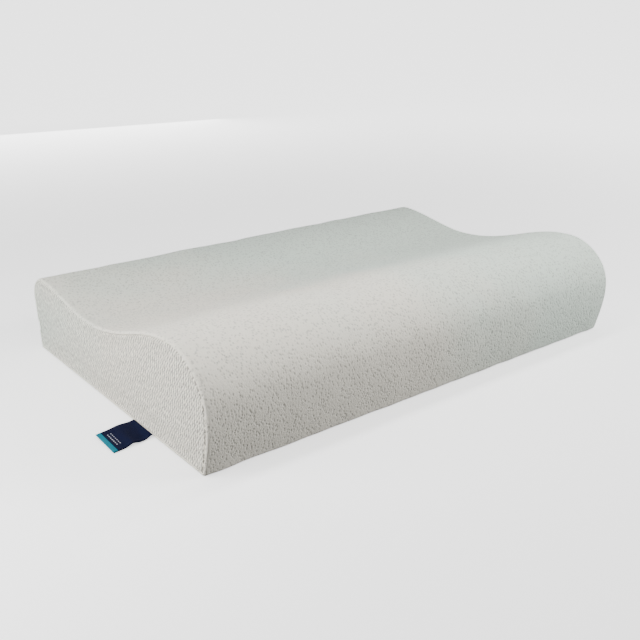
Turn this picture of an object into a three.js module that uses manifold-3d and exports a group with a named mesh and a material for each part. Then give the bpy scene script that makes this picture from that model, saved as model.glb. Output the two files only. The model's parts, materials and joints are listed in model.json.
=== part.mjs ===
// A contour bed pillow: a moulded memory-foam core in a thin knitted liner, inside a
// removable knitted cover that closes with a coil zip along the back, with a woven
// loop label sewn in the seam of one end.
//
// Millimetres. X runs along the pillow, -Y is the side with the high neck roll, and
// +Z is up. The origin is the middle of the flat underside.

import * as THREE from "three";
import { mergeVertices } from "three/addons/utils/BufferGeometryUtils.js";
import Module from "manifold-3d";

const wasm = await Module();
wasm.setup();

// ---- Driving dimensions of the pillow's outline, seen from its end ----
// Depths are measured from the front-most point of the front roll.
const LENGTH = 600;
const DEPTH = 405;
const FRONT_CREST_DEPTH = 63;
const FRONT_CREST_HEIGHT = 118.5;
const FRONT_BULGE_HEIGHT = 59;
const FRONT_TUCK = 10.6; // how far the front bottom edge sits behind the bulge
const FRONT_LEAN = THREE.MathUtils.degToRad(15); // overhang of the front above that edge
const DIP_DEPTH = 253;
const DIP_HEIGHT = 81.6;
const BACK_CREST_FROM_BACK = 34;
const BACK_CREST_HEIGHT = 96.6;
const BACK_SHOULDER = 31.4; // height of the rounded shoulder under the back crest
const BACK_TUCK = 6; // how far the back bottom edge sits in from the back
const BASE_EDGE_RADIUS = 4;
const LEAST_EDGE_RADIUS = 0.8;

// Handle lengths of the outline's curves, as shares of the stretch that each one spans.
// A longer handle makes a fuller curve.
const FULLNESS = {
  frontLow: 0.35,
  bulgeDown: 0.31,
  bulgeUp: 0.69,
  frontCrestIn: 0.39,
  frontCrestOut: 0.34,
  dipIn: 0.45,
  dipOut: 0.3,
  backCrestIn: 0.31,
  corner: 0.55,
};

// ---- Layers, from the outside in ----
const GAP = 0.3; // between pieces that touch on the real pillow
const COVER_THICKNESS = 1.6;
const LINER_THICKNESS = 0.6;
const END_EDGE_RADIUS = 3.5; // the cover's roll over each end seam
const SEAM_WIDTH = 6; // overlocked seam allowance
const COVER_SEAM_THICKNESS = 1.2;
const LINER_SEAM_THICKNESS = 0.6;
const FOAM_EDGE_RADIUS = 6;

// ---- Zip ----
const ZIP_HEIGHT = 30; // the chain's middle above the underside
const ZIP_SLOT = 13; // between the cover's two folded edges
const TAPE_WIDTH = 13;
const TAPE_THICKNESS = 0.5;
const COIL_WIDTH = 2.8;
const COIL_THICKNESS = 1.6;
const COIL_BELOW_FACE = 0.1;
const COIL_OVERHANG = 1; // past its tape's edge
const TOPSTITCH_FROM_EDGE = 2;
const TOPSTITCH_FROM_END = 11;
const THREAD = 0.5;
const BARTACK = { length: 3, width: 12, thickness: 0.7, fromEnd: 14 };
const SLIDER_FROM_END = 26; // the slider's middle from the pillow's end, fully closed
const SLIDER_CLEARANCE = 0.5; // between the slider's back and the liner
const PRESS_PAST_SLIDER = 2.3;
const PRESS_PAST_TAPE = 5.7;

const SLIDER = {
  length: 13,
  plate: 1,
  wall: 0.8,
  spread: 1.5, // how far each coil is pushed aside at the slider's nose
  throatStart: -1, // where the two channels begin to part
  throatEnd: 3.5,
  roundOff: 1.2, // at the plates' corners
  wallDrop: 1.7, // how far the side walls reach down from the top plate
  postStart: 0.8,
  postShoulder: 5.2,
  postEnd: 6.1,
  postClearance: 0.4, // to the coil on each side
  bridgeWidth: 2.2,
  bridgeLength: 6.8,
  bridgeLeg: 1.4,
  bridgeTop: 0.9,
};

const TAB = {
  length: 24,
  thickness: 1,
  barRadius: 0.55,
  windowLength: 4.6,
  armWidth: 1.2,
  shoulder: 3, // length over which the arms broaden to the plate
  broadWidth: 8,
  tipWidth: 6,
};

// ---- Labels ----
const LABEL = {
  width: 40,
  reach: 44,
  thickness: 1.1,
  depth: 127.5, // its middle at the seam, from the front-most point
  skew: 5.5, // how far its free end drifts toward the front
  off: 0.9, // its root from the end panel
  clearOfFloor: 0.3,
};
const CARE_LABEL = { width: 35, height: 50, thickness: 0.5 };

// ---- Derived sizes ----
const LINER_OUTSIDE = COVER_THICKNESS + GAP;
const FOAM_OUTSIDE = LINER_OUTSIDE + LINER_THICKNESS + GAP;
const COVER_SEAM_START = COVER_THICKNESS + GAP;
const LINER_END_START = COVER_SEAM_START + COVER_SEAM_THICKNESS + GAP;
const LINER_SEAM_START = LINER_END_START + LINER_THICKNESS + GAP;
const FOAM_END_START = LINER_SEAM_START + LINER_SEAM_THICKNESS + GAP;

const TAPE_TOP = -(COIL_BELOW_FACE + COIL_THICKNESS + GAP);
const TAPE_BOTTOM = TAPE_TOP - TAPE_THICKNESS;
const SLIDER_BOTTOM_TOP = TAPE_BOTTOM - GAP;
const SLIDER_BOTTOM = SLIDER_BOTTOM_TOP - SLIDER.plate;
const SLIDER_TOP_BOTTOM = GAP - COIL_BELOW_FACE;
const SLIDER_TOP = SLIDER_TOP_BOTTOM + SLIDER.plate;
const COIL_INNER = GAP;
const COIL_OUTER = COIL_INNER + COIL_WIDTH;
const TAB_PIVOT_HEIGHT = SLIDER_TOP + GAP + TAB.barRadius;
const TAB_HALF_WINDOW = SLIDER.bridgeWidth / 2 + GAP;

const SLIDER_HALF = COIL_OUTER + GAP + SLIDER.wall;
const TAPE_OUTER = COIL_INNER + COIL_OVERHANG + TAPE_WIDTH;

// The liner and foam are pressed in behind the zip, so that its slider has room. The
// press is full as far as the slider reaches and fades out past the tapes.
const RELIEF = {
  depth: -SLIDER_BOTTOM + SLIDER_CLEARANCE - LINER_OUTSIDE,
  flat: SLIDER_HALF + SLIDER.spread + PRESS_PAST_SLIDER,
  fade: TAPE_OUTER + PRESS_PAST_TAPE,
};
const FACE_STEPS = [0, 1, 2, 3].map((i) => THREE.MathUtils.lerp(RELIEF.flat, RELIEF.fade, i / 3));

// ---- Materials ----
function cloth(colour) {
  return new THREE.MeshStandardMaterial({ color: colour, roughness: 0.95, metalness: 0 });
}

function metal(colour) {
  return new THREE.MeshStandardMaterial({ color: colour, roughness: 0.35, metalness: 1 });
}

const COVER_COLOUR = 0xcdd0ca;
const END_COLOUR = 0xc6c7c1;
const LINER_COLOUR = 0xf2f2ee;
const FOAM_COLOUR = 0xf1e8d2;
const ZIP_COLOUR = 0xd9dbd6;
const THREAD_COLOUR = 0xe6e6e0;
const LABEL_COLOUR = 0x1d2a4d;

// ---- Outline of the pillow at any inset from its surface ----
const point = (y, z) => new THREE.Vector2(y, z);

/** Points along a cubic curve after its start, evenly spaced in its parameter. */
function curvePoints(start, startHandle, endHandle, end, steps) {
  const curve = new THREE.CubicBezierCurve(start, startHandle, endHandle, end);
  return curve.getPoints(steps).slice(1);
}

/** The straight back face, moved in by an inset: its top, its upward and outward directions. */
function backFace(inset) {
  const topZ = BACK_CREST_HEIGHT - BACK_SHOULDER;
  const lean = Math.atan2(BACK_TUCK, topZ);
  const up = point(Math.sin(lean), Math.cos(lean));
  const out = point(Math.cos(lean), -Math.sin(lean));
  const top = point(DEPTH, topZ).addScaledVector(out, -inset);
  const at = (height) => top.clone().addScaledVector(up, (height - top.y) / up.y);
  return { lean, up, out, top, at };
}

/** How far a layer is pressed in behind the zip, at a height from the zip's middle. */
function reliefAt(height, depth) {
  const fade = THREE.MathUtils.smoothstep(Math.abs(height), RELIEF.flat, RELIEF.fade);
  return depth * (1 - fade);
}

/**
 * The outline moved in by an inset, as [y, z] points. It starts on the back face at the
 * zip, runs down, under, up the front and over the top, and ends at the zip again.
 * faceSteps are heights from the zip's middle, and relief is the press behind the zip.
 */
function outline(inset, faceSteps, relief) {
  const face = backFace(inset);
  const zipMiddle = backFace(0).at(ZIP_HEIGHT);
  const onFace = (height) =>
    zipMiddle
      .clone()
      .addScaledVector(face.up, height)
      .addScaledVector(face.out, -inset - reliefAt(height, relief));
  const radius = Math.max(BASE_EDGE_RADIUS - inset, LEAST_EDGE_RADIUS);
  const round = radius * FULLNESS.corner;

  const backCorner = face.at(inset);
  const backUp = backCorner.clone().addScaledVector(face.up, radius);
  const backUnder = backCorner.clone().add(point(-radius, 0));

  const rise = point(-Math.sin(FRONT_LEAN), Math.cos(FRONT_LEAN));
  const slide = inset * (1 - Math.sin(FRONT_LEAN)) / Math.cos(FRONT_LEAN);
  const frontCorner = point(FRONT_TUCK + inset * Math.cos(FRONT_LEAN), inset * Math.sin(FRONT_LEAN))
    .addScaledVector(rise, slide);
  const frontUnder = frontCorner.clone().add(point(radius, 0));
  const frontUp = frontCorner.clone().addScaledVector(rise, radius);

  const bulge = point(inset, FRONT_BULGE_HEIGHT);
  const frontCrest = point(FRONT_CREST_DEPTH, FRONT_CREST_HEIGHT - inset);
  const dip = point(DIP_DEPTH, DIP_HEIGHT - inset);
  const backCrest = point(DEPTH - BACK_CREST_FROM_BACK, BACK_CREST_HEIGHT - inset);
  const belowBulge = bulge.y - frontUp.y;
  const aboveBulge = frontCrest.y - bulge.y;
  const toDip = dip.x - frontCrest.x;
  const fromDip = backCrest.x - dip.x;
  const overShoulder = face.top.x - backCrest.x;
  const downShoulder = backCrest.y - face.top.y;

  return [
    ...faceSteps.map((height) => onFace(-height)),
    backUp,
    ...curvePoints(
      backUp,
      backUp.clone().addScaledVector(face.up, -round),
      backUnder.clone().add(point(round, 0)),
      backUnder,
      4,
    ),
    ...curvePoints(backUnder, backUnder, frontUnder, frontUnder, 6),
    ...curvePoints(
      frontUnder,
      frontUnder.clone().add(point(-round, 0)),
      frontUp.clone().addScaledVector(rise, -round),
      frontUp,
      4,
    ),
    ...curvePoints(
      frontUp,
      frontUp.clone().addScaledVector(rise, belowBulge * FULLNESS.frontLow),
      bulge.clone().add(point(0, -belowBulge * FULLNESS.bulgeDown)),
      bulge,
      6,
    ),
    ...curvePoints(
      bulge,
      bulge.clone().add(point(0, aboveBulge * FULLNESS.bulgeUp)),
      frontCrest.clone().add(point(-(frontCrest.x - bulge.x) * FULLNESS.frontCrestIn, 0)),
      frontCrest,
      9,
    ),
    ...curvePoints(
      frontCrest,
      frontCrest.clone().add(point(toDip * FULLNESS.frontCrestOut, 0)),
      dip.clone().add(point(-toDip * FULLNESS.dipIn, 0)),
      dip,
      9,
    ),
    ...curvePoints(
      dip,
      dip.clone().add(point(fromDip * FULLNESS.dipOut, 0)),
      backCrest.clone().add(point(-fromDip * FULLNESS.backCrestIn, 0)),
      backCrest,
      7,
    ),
    ...curvePoints(
      backCrest,
      backCrest.clone().add(point(overShoulder * FULLNESS.corner, 0)),
      face.top.clone().addScaledVector(face.up, downShoulder * FULLNESS.corner),
      face.top,
      7,
    ),
    ...faceSteps.map((height) => onFace(height)).reverse(),
  ].map((p) => [p.x - DEPTH / 2, p.y]);
}

/** The outline as a closed loop, for the layers that the zip doesn't part. */
function loop(inset, relief = 0) {
  return outline(inset, [0, ...FACE_STEPS], relief).slice(0, -1);
}

/** The outline as an open strip that stops at the zip slot's two edges. */
function strip(inset) {
  return outline(inset, [ZIP_SLOT / 2, ...FACE_STEPS], 0);
}

// ---- Solids ----
const section = (points, x) => points.map(([y, z]) => [x, y, z]);

function bodyFrom(vertices, triangles) {
  const geometry = new THREE.BufferGeometry();
  geometry.setAttribute("position", new THREE.Float32BufferAttribute(vertices.flat(), 3));
  geometry.setIndex(triangles.flat());
  geometry.computeVertexNormals();
  return geometry;
}

/** Two triangles for each cell between two rows of vertices, facing out of the pillow. */
function band(rowA, rowB, closed) {
  const triangles = [];
  const cells = closed ? rowA.length : rowA.length - 1;
  for (let i = 0; i < cells; i++) {
    const j = (i + 1) % rowA.length;
    triangles.push([rowA[i], rowB[i], rowB[j]], [rowA[i], rowB[j], rowA[j]]);
  }
  return triangles;
}

/** Numbers the vertices of a grid of sections, row by row, from a first number. */
function rowsOf(sections, first) {
  return sections.map((row, s) => row.map((_, i) => first + s * row.length + i));
}

const bands = (rows, closed) => rows.slice(1).flatMap((row, s) => band(rows[s], row, closed));
const turned = (triangles) => triangles.map(([a, b, c]) => [a, c, b]);

/** A closed body between an outer and an inner grid of sections, joined round its rims. */
function sheetBody(outer, inner, closed) {
  const out = rowsOf(outer, 0);
  const ins = rowsOf(inner, outer.length * outer[0].length);
  const last = out.length - 1;
  const triangles = [
    ...bands(out, closed),
    ...turned(bands(ins, closed)),
    ...turned(band(out[0], ins[0], closed)),
    ...band(out[last], ins[last], closed),
  ];
  if (!closed) {
    const edge = (rows, i) => rows.map((row) => row[i]);
    triangles.push(...band(edge(out, 0), edge(ins, 0), false));
    triangles.push(...turned(band(edge(out, out[0].length - 1), edge(ins, out[0].length - 1), false)));
  }
  return bodyFrom([...outer.flat(), ...inner.flat()], triangles);
}

/** A solid body through closed sections, with each end closed by a fan from a middle point. */
function loftBody(sections, middles) {
  const rows = rowsOf(sections, 0);
  const first = rows[0];
  const last = rows[rows.length - 1];
  const firstMiddle = sections.length * first.length;
  const fan = (row, middle) => row.map((a, i) => [middle, a, row[(i + 1) % row.length]]);
  return bodyFrom([...sections.flat(), ...middles], [
    ...bands(rows, true),
    ...fan(first, firstMiddle),
    ...turned(fan(last, firstMiddle + 1)),
  ]);
}

/** A solid body through closed outlines of the pillow. */
function pillowBody(sections) {
  const ends = [sections[0], sections[sections.length - 1]];
  return loftBody(sections, ends.map((row) => [row[0][0], 0, DIP_HEIGHT / 2]));
}

/** Repeats stations near one end at the other, mirrored, with one more in the middle. */
function bothEnds(stations, build) {
  const left = stations.map((s) => section(build(s), -LENGTH / 2 + s.depth));
  const middle = section(build(stations[stations.length - 1]), 0);
  const right = stations.map((s) => section(build(s), LENGTH / 2 - s.depth)).reverse();
  return [...left, middle, ...right];
}

/** Stations round an edge: insets and depths on an arc of a radius about a centre. */
function edgeArc(centreInset, centreDepth, radius, steps) {
  return Array.from({ length: steps + 1 }, (_, i) => {
    const angle = (i / steps) * Math.PI / 2;
    return {
      inset: centreInset - radius * Math.sin(angle),
      depth: centreDepth - radius * Math.cos(angle),
    };
  });
}

/** A flat plate across the pillow near one end, between two depths from that end. */
function endPlate(side, inset, relief, startDepth, thickness) {
  const xs = [startDepth, startDepth + thickness].map((d) => side * (LENGTH / 2 - d));
  xs.sort((a, b) => a - b);
  return pillowBody(xs.map((x) => section(loop(inset, relief), x)));
}

/** A flat ring across the pillow near one end, the width of a seam allowance. */
function endRing(side, inset, relief, startDepth, thickness) {
  const xs = [startDepth, startDepth + thickness].map((d) => side * (LENGTH / 2 - d));
  xs.sort((a, b) => a - b);
  const ring = (at) => xs.map((x) => section(loop(at, relief), x));
  return sheetBody(ring(inset), ring(inset + SEAM_WIDTH), true);
}

/** A slab with an outline in X and the zip's cross direction, between two heights. */
function slab(points, low, high) {
  const shape = new THREE.Shape(points.map(([x, z]) => new THREE.Vector2(x, z)));
  const geometry = new THREE.ExtrudeGeometry(shape, { depth: high - low, bevelEnabled: false });
  return geometry.rotateX(Math.PI / 2).translate(0, high, 0);
}

function toSolid(geometry) {
  const bare = geometry.clone();
  bare.deleteAttribute("normal");
  bare.deleteAttribute("uv");
  const merged = mergeVertices(bare);
  return new wasm.Manifold(
    new wasm.Mesh({
      numProp: 3,
      vertProperties: new Float32Array(merged.attributes.position.array),
      triVerts: new Uint32Array(merged.index.array),
    }),
  );
}

function toGeometry(solid) {
  const mesh = solid.getMesh();
  const geometry = new THREE.BufferGeometry();
  geometry.setAttribute("position", new THREE.BufferAttribute(mesh.vertProperties, 3));
  geometry.setIndex(new THREE.BufferAttribute(mesh.triVerts, 1));
  geometry.computeVertexNormals();
  return geometry;
}

const joined = (geometries) => geometries.map(toSolid).reduce((all, one) => all.add(one));

function mesh(name, geometry, material) {
  const node = new THREE.Mesh(geometry, material);
  node.name = name;
  return node;
}

// ---- Foam core and liner ----
function foamCore() {
  const stations = edgeArc(
    FOAM_OUTSIDE + FOAM_EDGE_RADIUS,
    FOAM_END_START + FOAM_EDGE_RADIUS,
    FOAM_EDGE_RADIUS,
    3,
  );
  const sections = bothEnds(stations, (s) => loop(s.inset, RELIEF.depth));
  return mesh("foam_core", pillowBody(sections), cloth(FOAM_COLOUR));
}

/** Where the cover's inner roll leaves room for the liner, at a depth from the end. */
function linerInset(depth) {
  const radius = END_EDGE_RADIUS - LINER_OUTSIDE;
  const back = Math.max(END_EDGE_RADIUS - depth, 0);
  return END_EDGE_RADIUS - Math.sqrt(radius * radius - back * back);
}

function linerSleeve() {
  const pastRoll = LINER_END_START + END_EDGE_RADIUS;
  const stations = [LINER_END_START, pastRoll].map((depth) => ({ depth }));
  const at = (extra) => (s) => loop(linerInset(s.depth) + extra, RELIEF.depth);
  return mesh(
    "liner_sleeve",
    sheetBody(bothEnds(stations, at(0)), bothEnds(stations, at(LINER_THICKNESS)), true),
    cloth(LINER_COLOUR),
  );
}

function linerEnd(name, side) {
  const inset = linerInset(LINER_END_START) + LINER_THICKNESS + GAP;
  return [
    mesh(
      `${name}_end`,
      endPlate(side, inset, RELIEF.depth, LINER_END_START, LINER_THICKNESS),
      cloth(LINER_COLOUR),
    ),
    mesh(
      `${name}_seam`,
      endRing(side, inset, RELIEF.depth, LINER_SEAM_START, LINER_SEAM_THICKNESS),
      cloth(THREAD_COLOUR),
    ),
  ];
}

// ---- Cover ----
function coverBodyPanel() {
  const arc = (thickness) =>
    edgeArc(END_EDGE_RADIUS, END_EDGE_RADIUS, END_EDGE_RADIUS - thickness, 4);
  const build = (s) => strip(s.inset);
  return mesh(
    "cover_body_panel",
    sheetBody(bothEnds(arc(0), build), bothEnds(arc(COVER_THICKNESS), build), false),
    cloth(COVER_COLOUR),
  );
}

function coverEnd(name, side) {
  const inset = END_EDGE_RADIUS + GAP;
  return [
    mesh(
      `cover_${name}_end_panel`,
      endPlate(side, inset, 0, 0, COVER_THICKNESS),
      cloth(END_COLOUR),
    ),
    mesh(
      `${name}_end_seam`,
      endRing(side, inset, 0, COVER_SEAM_START, COVER_SEAM_THICKNESS),
      cloth(THREAD_COLOUR),
    ),
  ];
}

// ---- Zip, in a frame with X along the chain, Y out of the back face and Z up it ----
const CHAIN_END = LENGTH / 2 - END_EDGE_RADIUS;
const SLIDER_X = LENGTH / 2 - SLIDER_FROM_END;

/** Mirrors an outline to the zip's lower half when side is -1, kept in the same turn. */
function mirrored(points, side) {
  const flipped = points.map(([x, z]) => [x, side * z]);
  return side < 0 ? flipped.reverse() : flipped;
}

/** A line along the chain that is pushed aside where the slider's post parts the coils. */
function partingLine(z) {
  return [
    [-CHAIN_END, z],
    [SLIDER_X + SLIDER.throatStart, z],
    [SLIDER_X + SLIDER.throatEnd, z + SLIDER.spread],
    [CHAIN_END, z + SLIDER.spread],
  ];
}

function zipTape(name, side) {
  const edge = COIL_INNER + COIL_OVERHANG;
  const plan = [...partingLine(edge), [CHAIN_END, TAPE_OUTER], [-CHAIN_END, TAPE_OUTER]];
  const geometry = slab(mirrored(plan, side), TAPE_BOTTOM, TAPE_TOP);
  return mesh(`zip_${name}_tape`, geometry, cloth(ZIP_COLOUR));
}

function zipCoil(name, side) {
  const plan = [...partingLine(COIL_INNER), ...partingLine(COIL_OUTER).reverse()];
  const top = -COIL_BELOW_FACE;
  const geometry = slab(mirrored(plan, side), top - COIL_THICKNESS, top);
  return mesh(`zip_${name}_coil`, geometry, cloth(ZIP_COLOUR));
}

function zipTopstitch(name, side) {
  const z = side * (ZIP_SLOT / 2 + TOPSTITCH_FROM_EDGE);
  const length = LENGTH - 2 * TOPSTITCH_FROM_END;
  const geometry = new THREE.BoxGeometry(length, THREAD, THREAD);
  const node = mesh(`zip_${name}_topstitch`, geometry, cloth(THREAD_COLOUR));
  node.position.set(0, GAP + THREAD / 2, z);
  return node;
}

function zipBartack(name, side) {
  const geometry = new THREE.BoxGeometry(BARTACK.length, BARTACK.thickness, BARTACK.width);
  const node = mesh(`zip_${name}_bartack`, geometry, cloth(THREAD_COLOUR));
  node.position.set(side * (LENGTH / 2 - BARTACK.fromEnd), GAP + BARTACK.thickness / 2, 0);
  return node;
}

/** Half of the slider's plan, from its tail to its nose, at a margin outside the coils. */
function sliderEdge(margin) {
  const half = COIL_OUTER + GAP + margin;
  const tail = -SLIDER.length / 2;
  const nose = SLIDER.length / 2;
  return [
    [tail, half - SLIDER.roundOff],
    [tail + SLIDER.roundOff, half],
    [SLIDER.throatStart, half],
    [SLIDER.throatEnd, half + SLIDER.spread],
    [nose - SLIDER.roundOff, half + SLIDER.spread],
    [nose, half + SLIDER.spread - SLIDER.roundOff],
  ];
}

function sliderPlate(low, high) {
  const half = sliderEdge(SLIDER.wall);
  const other = half.map(([x, z]) => [x, -z]).reverse();
  return slab([...other, ...half].reverse(), low, high);
}

function sliderWall(side) {
  const outer = sliderEdge(SLIDER.wall).slice(1, -1);
  const inner = sliderEdge(0).slice(1, -1);
  const low = SLIDER_TOP_BOTTOM - SLIDER.wallDrop;
  const high = SLIDER_TOP_BOTTOM + SLIDER.plate / 2;
  return slab(mirrored([...inner, ...outer.reverse()], side), low, high);
}

function sliderPost() {
  const overlap = SLIDER.plate / 2;
  const half = COIL_INNER + SLIDER.spread - SLIDER.postClearance;
  const plan = [
    [SLIDER.postStart, 0],
    [SLIDER.throatEnd, -half],
    [SLIDER.postShoulder, -half],
    [SLIDER.postEnd, 0],
    [SLIDER.postShoulder, half],
    [SLIDER.throatEnd, half],
  ];
  return slab(plan, SLIDER_BOTTOM_TOP - overlap, SLIDER_TOP_BOTTOM + overlap);
}

/** The arch that the pull tab hangs on: an outline along the chain, given a width. */
function sliderBridge() {
  const half = SLIDER.bridgeLength / 2;
  const inner = half - SLIDER.bridgeLeg;
  const foot = SLIDER_TOP - SLIDER.plate / 2;
  const ceiling = TAB_PIVOT_HEIGHT + TAB.barRadius + GAP;
  const top = ceiling + SLIDER.bridgeTop;
  const plan = [
    [-half, foot],
    [-inner, foot],
    [-inner, ceiling],
    [inner, ceiling],
    [inner, foot],
    [half, foot],
    [half, ceiling],
    [inner, top],
    [-inner, top],
    [-half, ceiling],
  ];
  const shape = new THREE.Shape(plan.map(([x, y]) => new THREE.Vector2(x, y)));
  const geometry = new THREE.ExtrudeGeometry(shape, {
    depth: SLIDER.bridgeWidth,
    bevelEnabled: false,
  });
  return geometry.translate(0, 0, -SLIDER.bridgeWidth / 2);
}

function zipSlider() {
  const solid = joined([
    sliderPlate(SLIDER_BOTTOM, SLIDER_BOTTOM_TOP),
    sliderPlate(SLIDER_TOP_BOTTOM, SLIDER_TOP),
    sliderWall(1),
    sliderWall(-1),
    sliderPost(),
    sliderBridge(),
  ]);
  const node = mesh("zip_slider", toGeometry(solid), metal(0xb4b7ba));
  node.position.x = SLIDER_X;
  return node;
}

const TIP_STEPS = 8;

/** The pull tab, flat behind its slider: two arms, a cross bar under the bridge, a plate. */
function zipPullTab() {
  const arm = TAB_HALF_WINDOW + TAB.armWidth;
  const broad = TAB.broadWidth / 2;
  const tip = TAB.tipWidth / 2;
  const roundTip = Array.from({ length: TIP_STEPS + 1 }, (_, i) => {
    const angle = Math.PI / 2 + (i / TIP_STEPS) * Math.PI;
    return [-TAB.length + tip + tip * Math.cos(angle), tip * Math.sin(angle)];
  });
  const plan = [
    [0, TAB_HALF_WINDOW],
    [0, arm],
    [-TAB.windowLength, arm],
    [-TAB.windowLength - TAB.shoulder, broad],
    ...roundTip,
    [-TAB.windowLength - TAB.shoulder, -broad],
    [-TAB.windowLength, -arm],
    [0, -arm],
    [0, -TAB_HALF_WINDOW],
    [-TAB.windowLength, -TAB_HALF_WINDOW],
    [-TAB.windowLength, TAB_HALF_WINDOW],
  ];
  const plate = slab(plan, -TAB.thickness / 2, TAB.thickness / 2);
  const bar = new THREE.CylinderGeometry(TAB.barRadius, TAB.barRadius, 2 * arm, 16);
  bar.rotateX(Math.PI / 2);
  const node = mesh("zip_pull_tab", toGeometry(joined([plate, bar])), metal(0xb4b7ba));
  node.position.set(SLIDER_X, TAB_PIVOT_HEIGHT, 0);
  return node;
}

function zip() {
  const group = new THREE.Group();
  const face = backFace(0);
  const middle = face.at(ZIP_HEIGHT);
  group.position.set(0, middle.x - DEPTH / 2, middle.y);
  group.rotation.x = -face.lean;
  for (const [name, side] of [["upper", 1], ["lower", -1]]) {
    group.add(zipTape(name, side), zipCoil(name, side), zipTopstitch(name, side));
  }
  group.add(zipBartack("left", -1), zipBartack("right", 1));
  group.add(zipSlider(), zipPullTab());
  return group;
}

// ---- Labels ----
/** The woven loop label: it leaves the left end's bottom seam and lies out in a low wave. */
function sideLabel() {
  const half = LABEL.thickness / 2;
  const floor = LABEL.clearOfFloor + half;
  const root = END_EDGE_RADIUS;
  // Share of the reach, and height as a share of the way from the floor up to the root.
  const droop = [
    [0, 1],
    [0.1, 0.78],
    [0.22, 0.68],
    [0.36, 0.76],
    [0.5, 0.8],
    [0.64, 0.62],
    [0.8, 0.4],
    [1, 0.35],
  ];
  const across = (share) => LABEL.width / 2 - (share === 1 ? LABEL.thickness / 2 : 0);
  const sections = droop.map(([share, height]) => {
    const middle = -share * LABEL.skew;
    const z = floor + height * (root - floor);
    return [
      [-share * LABEL.reach, middle + across(share), z - half],
      [-share * LABEL.reach, middle - across(share), z - half],
      [-share * LABEL.reach, middle - across(share), z + half],
      [-share * LABEL.reach, middle + across(share), z + half],
    ];
  });
  sections.reverse();
  const middles = [sections[0], sections[sections.length - 1]].map((row) => [
    row[0][0],
    (row[0][1] + row[1][1]) / 2,
    (row[0][2] + row[2][2]) / 2,
  ]);
  const node = mesh("side_label", loftBody(sections, middles), cloth(LABEL_COLOUR));
  node.position.set(-LENGTH / 2 - LABEL.off, LABEL.depth - DEPTH / 2, 0);
  return node;
}

/** The blank care label, sewn in the right end seam and lying inside against its panel. */
function careLabel() {
  const geometry = new THREE.BoxGeometry(
    CARE_LABEL.thickness,
    CARE_LABEL.width,
    CARE_LABEL.height,
  );
  const bottom = END_EDGE_RADIUS + GAP + SEAM_WIDTH + GAP;
  const node = mesh("care_label", geometry, cloth(LINER_COLOUR));
  const depth = COVER_SEAM_START + COVER_SEAM_THICKNESS / 2;
  node.position.set(LENGTH / 2 - depth, 0, bottom + CARE_LABEL.height / 2);
  return node;
}

// ---- The whole pillow ----
const pillow = new THREE.Group();
pillow.name = "contour_bed_pillow";
pillow.add(foamCore(), linerSleeve(), coverBodyPanel(), zip(), sideLabel(), careLabel());
for (const [name, side] of [["left", -1], ["right", 1]]) {
  pillow.add(...linerEnd(`liner_${name}`, side), ...coverEnd(name, side));
}

export default pillow;
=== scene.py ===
# %% [markdown]
# # A contour bed pillow
# The real object is one block of memory foam in a snug knitted cover. The foam gives
# the shape: a high roll for the neck, a dip for the head and a lower roll behind it.
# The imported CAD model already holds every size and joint, so the first step loads it
# and everything made here is laid over it, in metres, in the same frame.

# %% Load the frame
import json

import bpy
import numpy as np
from mathutils import Euler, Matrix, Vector


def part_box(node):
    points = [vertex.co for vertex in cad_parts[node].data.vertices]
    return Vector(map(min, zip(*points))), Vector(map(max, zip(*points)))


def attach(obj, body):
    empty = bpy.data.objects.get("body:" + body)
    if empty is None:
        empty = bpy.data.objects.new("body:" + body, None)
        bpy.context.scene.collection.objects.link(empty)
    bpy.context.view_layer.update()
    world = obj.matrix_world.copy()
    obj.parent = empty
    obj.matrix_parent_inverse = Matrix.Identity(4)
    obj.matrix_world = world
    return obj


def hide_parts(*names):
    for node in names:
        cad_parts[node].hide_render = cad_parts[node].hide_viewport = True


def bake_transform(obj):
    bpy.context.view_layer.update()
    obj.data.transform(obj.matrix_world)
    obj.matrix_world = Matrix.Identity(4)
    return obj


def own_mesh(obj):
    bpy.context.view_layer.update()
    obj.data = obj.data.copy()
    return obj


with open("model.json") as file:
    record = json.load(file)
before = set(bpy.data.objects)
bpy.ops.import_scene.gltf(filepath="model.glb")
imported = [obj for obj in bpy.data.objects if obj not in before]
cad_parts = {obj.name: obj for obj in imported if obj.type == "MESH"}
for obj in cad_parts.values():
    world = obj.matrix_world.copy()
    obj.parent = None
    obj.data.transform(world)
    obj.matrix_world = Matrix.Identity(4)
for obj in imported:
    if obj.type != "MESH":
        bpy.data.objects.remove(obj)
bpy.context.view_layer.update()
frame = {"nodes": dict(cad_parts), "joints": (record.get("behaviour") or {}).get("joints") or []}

MM = 0.001
low, high = (np.array(corner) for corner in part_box("cover_body_panel"))
LENGTH, DEPTH, HEIGHT = high - low
print("cover, mm:", (high - low) / MM)

# %% [markdown]
# ## The camera, the floor and the light
# Goods are shown under big soft lights against an evenly white background. The
# camera stands at the front left corner of the pillow and looks a little down.

# %% Camera
CAMERA_AIM = Vector((-0.0475, -0.044, 0.05))
CAMERA_DISTANCE = 1.005
CAMERA_AZIMUTH = np.radians(-38.544)
CAMERA_ELEVATION = np.radians(21.051)
CAMERA_ROLL = np.radians(0.19)
CAMERA_LENS = 47.33
SENSOR_WIDTH = 36

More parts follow.
